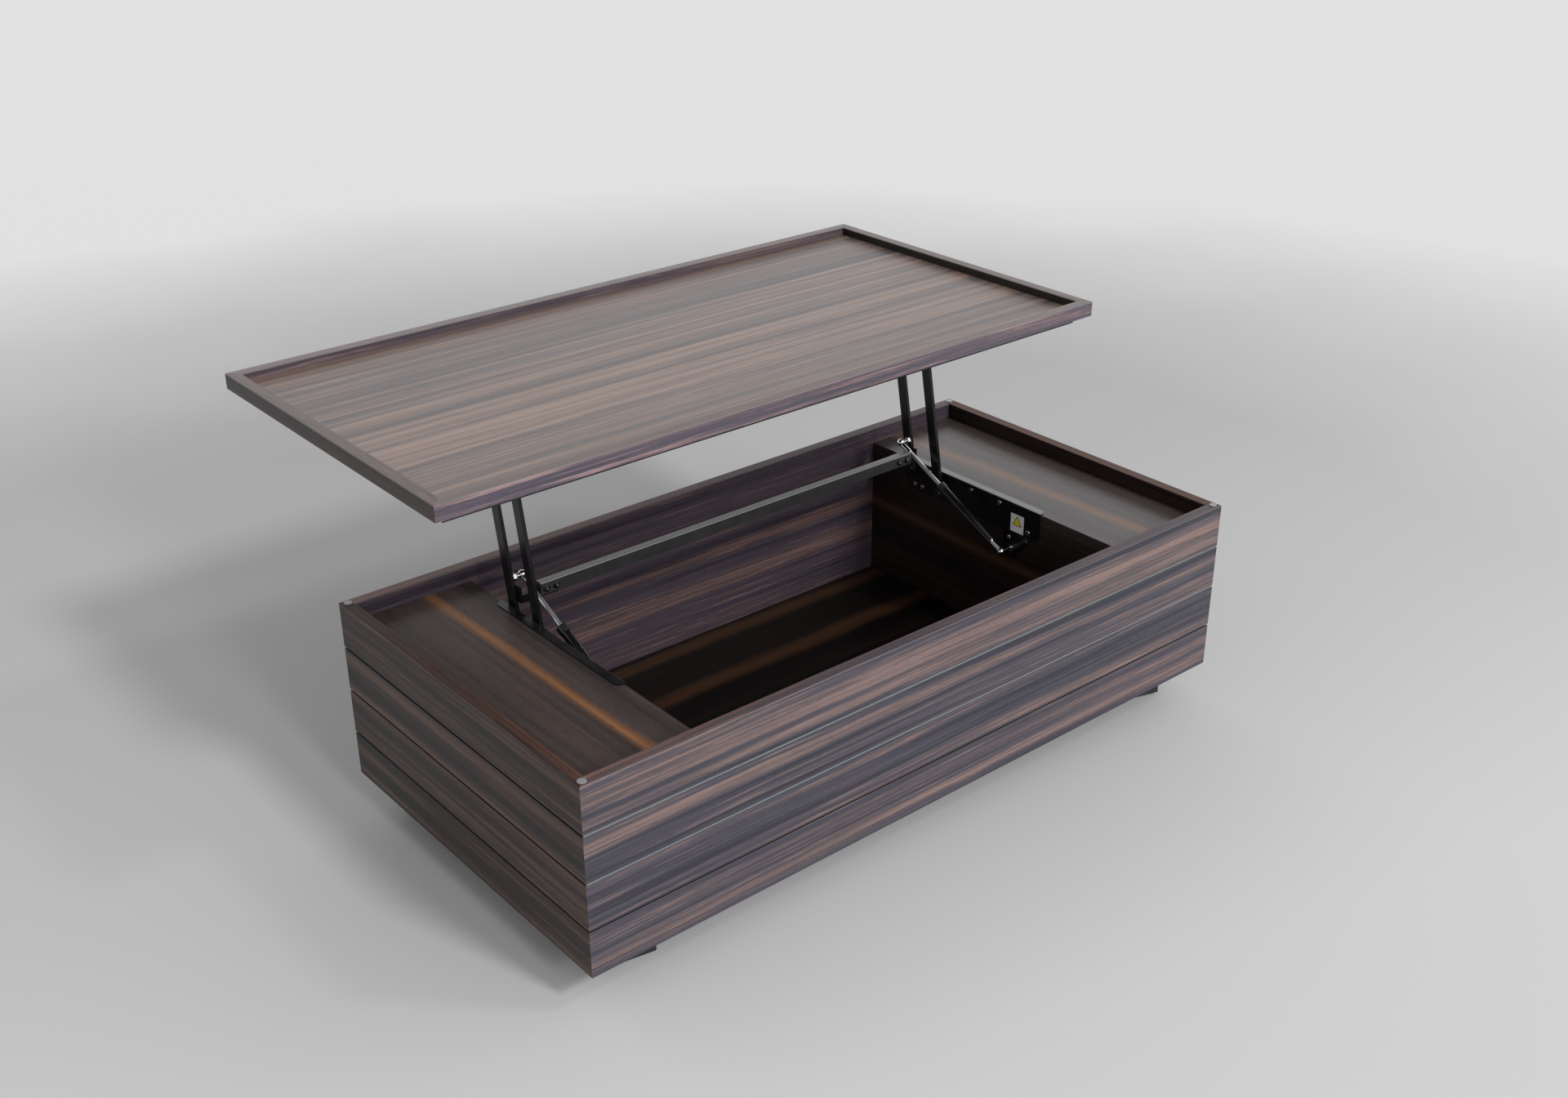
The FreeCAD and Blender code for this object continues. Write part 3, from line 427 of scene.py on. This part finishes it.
def inner_veneers():
    """Floor, dividers and shelves, with their heartwood streaks placed from the boards' own edges."""
    back_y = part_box("floor_panel")[1].y
    floor_streaks = [Streak("Y", "X", back_y - 25 * MM, 20 * MM, 0.0),
                     Streak("Y", "X", back_y - 140 * MM, 24 * MM, 0.01)]
    low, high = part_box("divider_right")
    divider_streaks = [Streak("Z", "Y", (low.z + high.z) / 2 + 22 * MM, 16 * MM, 0.02)]
    left_streaks = [Streak("X", "Y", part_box("shelf_left")[1].x - 71.5 * MM, 13 * MM, -0.014)]
    right_streaks = [Streak("X", "Y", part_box("shelf_right")[0].x + 64 * MM, 20 * MM, -0.039)]
    # The floor is darkened further as painted shade.
    floor = shade(FLOOR_SHADE_TONES, 0.85)
    divider = shade(INNER_TONES, 0.7)
    board = {"band": 14.0, "dashes": 0.3}
    return {
        "floor_panel": veneer("veneer_floor", "X", floor, (2.9, 6.3, 8.8), band=14.0, gloss=0.30, ior=1.20,
                              streaks=floor_streaks, heart=0.20),
        "divider_left": veneer("veneer_divider_left", "Y", divider, (8.4, 5.5, 1.1), gloss=0.30, ior=1.33,
                               **board),
        "divider_right": veneer("veneer_divider_right", "Y", divider, (1.8, 2.7, 7.9), gloss=0.30, ior=1.33,
                                streaks=divider_streaks, heart=0.40, **board),
        "shelf_left": veneer("veneer_shelf_left", "Y", SHELF_TONES, (3.7, 1.4, 2.6), gloss=0.30, ior=1.14,
                             streaks=left_streaks, heart=1.0, **board),
        "shelf_right": veneer("veneer_shelf_right", "Y", SHELF_TONES, (5.9, 4.8, 6.7), gloss=0.28, ior=1.40,
                              streaks=right_streaks, heart=0.5, **board),
    }


# ---- metal, plastic, felt ----

POWDER_BLACK = ((0.005, 0.005, 0.006), (0.008, 0.008, 0.009))
POWDER_GLOSS = (0.20, 0.28)
POWDER_IOR = 1.36
BAR_PAINT = ((0.025, 0.026, 0.025), (0.032, 0.033, 0.031))
BARE_STEEL_HIGHLIGHT = (0.45, 0.46, 0.45)
TOP_FADE = (0.9 * MM, 0.3 * MM)      # below the top: where the painted reflection on the upward face fades in
ARRIS_FADE = (1.9 * MM, 1.2 * MM)    # below the top: where the worn arris, with its painted highlight, fades in
COARSER = 14.0                       # how many times coarser a coat's clouds are than its skin
CLOUD_SHARE = 0.6                    # share of the clouds in a coat's gloss, against the skin


def coated(name, tones, rough, grain=700.0, relief=4 * MICRON, metallic=0.0, coat=0.0, ior=1.5):
    """Paint, plating or moulded plastic: a fine skin of texture and a gloss that is a little uneven, as if
    worn.
    """
    tree = Tree(name)
    skin = tree.noise(tree.place(), scale=grain)
    cloud = tree.noise(tree.place(), scale=grain / COARSER, detail=3.0)
    gloss = tree.span(tree.blend(cloud, skin, CLOUD_SHARE), 0.35, 0.65, *rough)
    tree.surface(Base_Color=tree.two_tone(cloud, tones), Roughness=gloss,
                 Normal=tree.bump(skin, relief, strength=0.6), Metallic=metallic, IOR=ior,
                 Coat_Weight=coat, Coat_Roughness=0.12)
    return tree.owner


def steel_with_painted_sheen(name, node, tones, top_reflection_tone, wear_and_highlight, gloss, ior):
    """Satin paint with a painted reflection that makes the node's upward face paler, and a worn arris below
    it that also carries a painted highlight.
    """
    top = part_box(node)[1].z
    tree = Tree(name)
    z = tree.split(tree.place())["Z"]
    cloud = tree.noise(tree.place(), scale=30.0, detail=3.0)
    upward = tree.span(z, *(top - below for below in TOP_FADE))
    arris = tree.math("SUBTRACT", tree.span(z, *(top - below for below in ARRIS_FADE)), upward)
    # Painted reflection on the upward face, then wear with a painted highlight on the arris below.
    colour = tree.mix(upward, tree.two_tone(cloud, tones), top_reflection_tone)
    colour = tree.mix(tree.math("MULTIPLY", arris, wear_and_highlight), colour, BARE_STEEL_HIGHLIGHT)
    tree.surface(Base_Color=colour, Roughness=tree.vary(cloud, *gloss), IOR=ior)
    return tree.owner


def felt():
    """Black wool of the pads under the feet."""
    tree = Tree("felt_wool")
    fibres = tree.noise(tree.place(), scale=1800.0, detail=3.0, roughness=0.7)
    tufts = tree.noise(tree.place(), scale=260.0, detail=3.0)
    colour = tree.two_tone(tree.blend(fibres, tufts, share=0.5), (0.015, (0.06, 0.058, 0.056)))
    tree.surface(Base_Color=colour, Roughness=tree.vary(tufts, 0.85, 1.0),
                 Normal=tree.bump(fibres, distance=500 * MICRON, strength=0.8), Sheen_Weight=0.4)
    return tree.owner


def clear_rubber():
    """Milky clear bumper with a faint haze inside."""
    tree = Tree("clear_rubber")
    haze = tree.noise(tree.place(), scale=500.0, detail=3.0)
    colour = tree.two_tone(haze, ((0.55, 0.56, 0.55), (0.70, 0.71, 0.70)), low=0.3, high=0.7)
    tree.surface(Base_Color=colour, Roughness=tree.vary(haze, 0.14, 0.24),
                 Normal=tree.bump(haze, distance=50 * MICRON, strength=0.4),
                 Transmission_Weight=0.6, IOR=1.45)
    return tree.owner


def slot_materials():
    """One material for each slot of the record that isn't veneer."""
    zinc = ((0.55, 0.55, 0.54), (0.74, 0.74, 0.72))
    rod = ((0.80, 0.80, 0.79), (0.88, 0.88, 0.87))
    chrome = (0.70, (0.82, 0.82, 0.81))
    vinyl = ((0.88, 0.88, 0.87), (0.93, 0.93, 0.92))
    foot = (0.012, (0.022, 0.021, 0.021))
    return {
        "plain_wood": raw_timber(),
        "felt": felt(),
        "clear_bumper": clear_rubber(),
        "foot_black": coated("foot_paint", foot, (0.5, 0.66), grain=420.0, relief=200 * MICRON),
        "zinc": coated("zinc_plate", zinc, (0.2, 0.30), relief=3 * MICRON, metallic=1.0),
        "black_steel": coated("powder_coat", POWDER_BLACK, POWDER_GLOSS, grain=420.0, relief=6 * MICRON,
                              ior=POWDER_IOR),
        "black_fastener": coated("black_zinc", (0.004, 0.007), (0.26, 0.34)),
        "black_plastic": coated("black_moulding", (0.010, 0.018), (0.3, 0.42), grain=1200.0,
                                relief=60 * MICRON),
        "cylinder_paint": coated("cylinder_enamel", (0.005, 0.009), (0.08, 0.15), grain=400.0, coat=0.8),
        "rod_steel": coated("polished_rod", rod, (0.36, 0.44), relief=2 * MICRON, metallic=1.0),
        "chrome_fitting": coated("bright_plate", chrome, (0.07, 0.16), relief=2 * MICRON, metallic=1.0),
        "label": coated("white_vinyl", vinyl, (0.28, 0.4)),
    }


def dress_nodes():
    """Give every CAD node its material: its own if it has one, and otherwise its slot's."""
    by_slot = slot_materials()
    by_node = {
        **box_veneers(),
        **lid_veneers(),
        **inner_veneers(),
        # Painted reflection on the upward faces of the cross bar and the right bracket, and a worn arris with
        # a painted highlight on the bar.
        "cross_bar": steel_with_painted_sheen("bar_steel", "cross_bar", BAR_PAINT, (0.12, 0.122, 0.12), wear_and_highlight=0.5,
                                gloss=(0.30, 0.36), ior=1.55),
        "base_bracket_right": steel_with_painted_sheen("bracket_steel", "base_bracket_right", POWDER_BLACK,
                                         (0.16, 0.16, 0.16), wear_and_highlight=0.0, gloss=POWDER_GLOSS, ior=POWDER_IOR),
    }
    for part in frame["record"]["subparts"]:
        name = part["node"]
        material = by_node.get(name) or by_slot[part["material_slot"]]
        for slot in frame["nodes"][name].material_slots:
            slot.material = material


# ---- small flat pieces ----

PROUD = 0.04 * MM              # how far a print or a recess stands off the face it lies on
SUNK = 0.4 * MM                # how far a recess reaches into its screw or bolt
HEX_RADIUS = 2.2 * MM
CROSS_REACH = 2.0 * MM
CROSS_HALF_WIDTH = 0.45 * MM
SAME_FRONT = 1.0 * MM          # solids whose front is this near the frontmost one are the bolts, not the nuts
LABEL_MIDDLE = 0.56            # height of the triangle's middle, as a share of the sticker
EDGE_TRIANGLE = (12.0 * MM, 1.6 * MM)    # size and corner radius
FIELD_TRIANGLE = (9.6 * MM, 1.1 * MM)


def flat_piece(name, outlines, axis, outer, inner, material, body):
    """Thin plates across an axis, from the inner to the outer position, for prints and for the painted glints
    and painted shade of drive recesses.
    """
    others = [i for i in range(3) if i != axis]
    mesh = bmesh.new()
    for outline in outlines:
        rings = []
        for height in (outer, inner):
            ring = []
            for point in outline:
                place = [0.0, 0.0, 0.0]
                place[axis] = height
                place[others[0]], place[others[1]] = point
                ring.append(mesh.verts.new(place))
            rings.append(ring)
        mesh.faces.new(rings[0])
        mesh.faces.new(reversed(rings[1]))
        for i in range(len(outline)):
            j = (i + 1) % len(outline)
            mesh.faces.new((rings[0][j], rings[0][i], rings[1][i], rings[1][j]))
    bmesh.ops.recalc_face_normals(mesh, faces=mesh.faces)
    data = bpy.data.meshes.new(name)
    mesh.to_mesh(data)
    mesh.free()
    data.materials.append(material)
    piece = bpy.data.objects.new(name, data)
    bpy.context.scene.collection.objects.link(piece)
    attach(piece, body)


def loose_boxes(node):
    """Box of every separate solid in a CAD node's mesh, as (low, high) in the row frame.

    Solids are told apart by following edges, with vertices that agree to a micron taken as one.
    """
    piece = frame["nodes"][node]
    points = [piece.matrix_world @ vertex.co for vertex in piece.data.vertices]
    merged = {}
    places = [tuple(round(value, 6) for value in point) for point in points]
    owner = [merged.setdefault(place, i) for i, place in enumerate(places)]
    parent = list(range(len(points)))

    def root(i):
        while parent[i] != i:
            parent[i] = parent[parent[i]]
            i = parent[i]
        return i

    for edge in piece.data.edges:
        a, b = edge.vertices
        parent[root(owner[a])] = root(owner[b])
    groups = {}
    for i, point in enumerate(points):
        groups.setdefault(root(owner[i]), []).append(point)
    return [(Vector(map(min, zip(*group))), Vector(map(max, zip(*group)))) for group in groups.values()]


def hexagon(middle, radius):
    """Outline of a hex socket with two of its corners level."""
    turns = [i * pi / 3 for i in range(6)]
    return [(middle[0] + radius * cos(turn), middle[1] + radius * sin(turn)) for turn in turns]


def cross(middle, reach, half_width):
    """Outline of a cross recess, turned by an eighth."""
    corners = [(reach, -half_width), (reach, half_width), (half_width, half_width)]
    points = []
    for quarter in range(4):
        turn = quarter * pi / 2 + pi / 4
        for a, b in corners:
            across = a * cos(turn) - b * sin(turn)
            up = a * sin(turn) + b * cos(turn)
            points.append((middle[0] + across, middle[1] + up))
    return points


def drive_recesses():
    """Pale hex plates on the cross bar's bolts as a painted glint in their sockets, and dark cross plates on
    the brackets' screws as painted shade in their recesses.
    """
    # Pale hex plates: a painted glint in the bolts' sockets.
    glint = coated("socket_glint", (0.07, 0.12), (0.3, 0.4))
    bolts = loose_boxes("cross_bar_bolts")
    front = min(low.y for low, high in bolts)
    heads = [(low, high) for low, high in bolts if low.y < front + SAME_FRONT]
    outlines = [hexagon(((low.x + high.x) / 2, (low.z + high.z) / 2), HEX_RADIUS) for low, high in heads]
    flat_piece("bolt_socket_glints", outlines, Y_AXIS, front - PROUD, front + SUNK, glint, "rear_arms")

    # Dark cross plates: painted shade standing in for the screws' recesses.
    dark = coated("recess_shadow", (0.004, 0.009), (0.45, 0.6))
    screws = loose_boxes("bracket_screws")
    for side, sign in SIDES.items():
        heads = [(low, high) for low, high in screws if sign * (low.x + high.x) > 0]
        face = min(low.x for low, high in heads) if sign > 0 else max(high.x for low, high in heads)
        outlines = [cross(((low.y + high.y) / 2, (low.z + high.z) / 2), CROSS_REACH, CROSS_HALF_WIDTH)
                    for low, high in heads]
        flat_piece("screw_recess_shades_" + side, outlines, X_AXIS, face - sign * PROUD, face + sign * SUNK, dark,
                   "carcass")


def rounded_triangle(middle, size, corner):
    """Upright triangle with round corners, as (y, z) points around its middle."""
    steps = 6
    reach = size - 2 * corner
    points = []
    for i in range(3):
        toward = pi / 2 + i * 2 * pi / 3
        centre = (middle[0] + reach * cos(toward), middle[1] + reach * sin(toward))
        for step in range(steps + 1):
            turn = toward + (step / steps - 0.5) * 2 * pi / 3
            points.append((centre[0] + corner * cos(turn), centre[1] + corner * sin(turn)))
    return points


def label_print():
    """Generic coloured triangle on the plain sticker, a little above its middle."""
    low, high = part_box("safety_label")
    middle = ((low.y + high.y) / 2, low.z + (high.z - low.z) * LABEL_MIDDLE)
    face = low.x
    black = coated("print_black", ((0.05, 0.045, 0.03), (0.07, 0.06, 0.04)), (0.3, 0.4))
    yellow = coated("print_yellow", ((0.90, 0.74, 0.03), (0.94, 0.78, 0.04)), (0.3, 0.4))
    edge = rounded_triangle(middle, *EDGE_TRIANGLE)
    field = rounded_triangle(middle, *FIELD_TRIANGLE)
    flat_piece("label_triangle_edge", [edge], X_AXIS, face - PROUD, face, black, "carcass")
    flat_piece("label_triangle", [field], X_AXIS, face - 2 * PROUD, face - PROUD, yellow, "carcass")


# ---- room ----

FLOOR_SIZE = 60.0
FLOOR_SLANT = -0.25            # how much the floor's shading turns from straight ahead towards the left
# Painted light and shade on the floor, from dark behind the table to light in front of it.
PAINTED_FLOOR_SHADE = [(0.0, 0.35), (0.55, 0.46), (0.79, 0.55), (1.0, 0.66)]
SHADING_RUN = (-2.5, 0.85)     # behind and in front of the middle, in metres
FAR_FLOOR = (0.74, 0.74, 0.74)
FAR_FADE = (2.0, 3.6)          # distances in metres between which the floor turns to the far tone
FAR_WAVER = 0.6                # how many metres the clouds shift that change

WALL_SIDE = (0.90, 0.43)       # x and y of the direction towards the brighter wall
WALL_LEVELS = (0.62, 1.38)
CEILING_FADE = (0.50, 0.80)    # upward part of a direction, from pure wall to pure ceiling
CEILING_LEVEL = 0.30
WALL_TONE = (0.98, 0.98, 1.0, 1.0)

# Distant lamps: the direction to each, its power and how many degrees it spans.
LAMPS = {
    "window_upper": ((0.139, -0.626, 0.570), 1.25, 9.0),
    "window_low": ((-0.044, -0.595, 0.296), 0.62, 9.0),
    "window_right": ((0.50, -0.50, 0.75), 0.25, 6.0),
}
LAMP_SHINE = 0.2               # share of each lamp that shows in reflections

CAMERA_PLACE = (-1.4997, -1.89591, 1.48092)
CAMERA_AZIMUTH = radians(-39.84)
CAMERA_ELEVATION = radians(26.31)
CAMERA_ROLL = radians(-0.28)
CAMERA_LENS = 39.96            # millimetres, for a sensor 36 mm wide
SENSOR_WIDTH = 36.0


def studio_floor():
    """Pale floor with painted shade behind the table and painted light in front of it, and lighter far away.
    """
    bpy.ops.mesh.primitive_plane_add(size=FLOOR_SIZE, location=(0.0, 0.0, 0.0))
    floor = bpy.context.object
    floor.name = "studio_floor"
    tree = Tree("studio_floor")
    x, y, _ = tree.split(tree.place())
    radius = tree.math("SQRT", tree.math("MULTIPLY_ADD", x, x, tree.math("MULTIPLY", y, y)))
    cloud = tree.noise(tree.place(), scale=0.9, detail=3.0)
    reach = tree.math("MULTIPLY_ADD", cloud, FAR_WAVER, radius)
    forward = tree.math("MULTIPLY_ADD", x, FLOOR_SLANT, tree.math("MULTIPLY", y, -1.0))
    near = tree.ramp(tree.span(forward, *SHADING_RUN), PAINTED_FLOOR_SHADE)
    tree.surface(Base_Color=tree.mix(tree.span(reach, *FAR_FADE), near, FAR_FLOOR), Roughness=0.9)
    floor.data.materials.append(tree.owner)


def room():
    """White walls all round, dimmer on the left, under a darker ceiling."""
    tree = Tree("room", "worlds", "Background")
    bpy.context.scene.world = tree.owner
    x, y, z = tree.split(tree.place("Generated"))
    facing = tree.math("MULTIPLY_ADD", x, WALL_SIDE[0], tree.math("MULTIPLY", y, WALL_SIDE[1]))
    walls = tree.span(facing, -1.0, 1.0, *WALL_LEVELS)
    share = tree.span(z, *CEILING_FADE, 1.0, CEILING_LEVEL)
    tree.surface(Strength=tree.math("MULTIPLY", walls, share), Color=WALL_TONE)


def lamp(name, toward, power, spread):
    """Distant lamp that shines from the given direction."""
    data = bpy.data.lights.new(name, "SUN")
    data.energy = power
    data.angle = radians(spread)
    data.specular_factor = LAMP_SHINE
    light = bpy.data.objects.new(name, data)
    light.matrix_world = Vector(toward).to_track_quat("Z", "Y").to_matrix().to_4x4()
    bpy.context.scene.collection.objects.link(light)


def camera():
    """The view from the front left, 26 degrees above level."""
    azimuth, elevation, roll = CAMERA_AZIMUTH, CAMERA_ELEVATION, CAMERA_ROLL
    back = Vector((sin(azimuth) * cos(elevation), -cos(azimuth) * cos(elevation), sin(elevation)))
    right = Vector((0.0, 0.0, 1.0)).cross(back).normalized()
    up = back.cross(right)
    rolled_right = cos(roll) * right + sin(roll) * up
    rolled_up = cos(roll) * up - sin(roll) * right
    axes = Matrix((rolled_right, rolled_up, back)).transposed().to_4x4()
    data = bpy.data.cameras.new("camera")
    data.sensor_width = SENSOR_WIDTH
    data.lens = CAMERA_LENS
    view = bpy.data.objects.new("camera", data)
    view.matrix_world = Matrix.Translation(CAMERA_PLACE) @ axes
    bpy.context.scene.collection.objects.link(view)
    bpy.context.scene.camera = view


bpy.context.scene.view_settings.view_transform = "Standard"
dress_nodes()
drive_recesses()
label_print()
studio_floor()
room()
for lamp_name, settings in LAMPS.items():
    lamp(lamp_name, *settings)
camera()
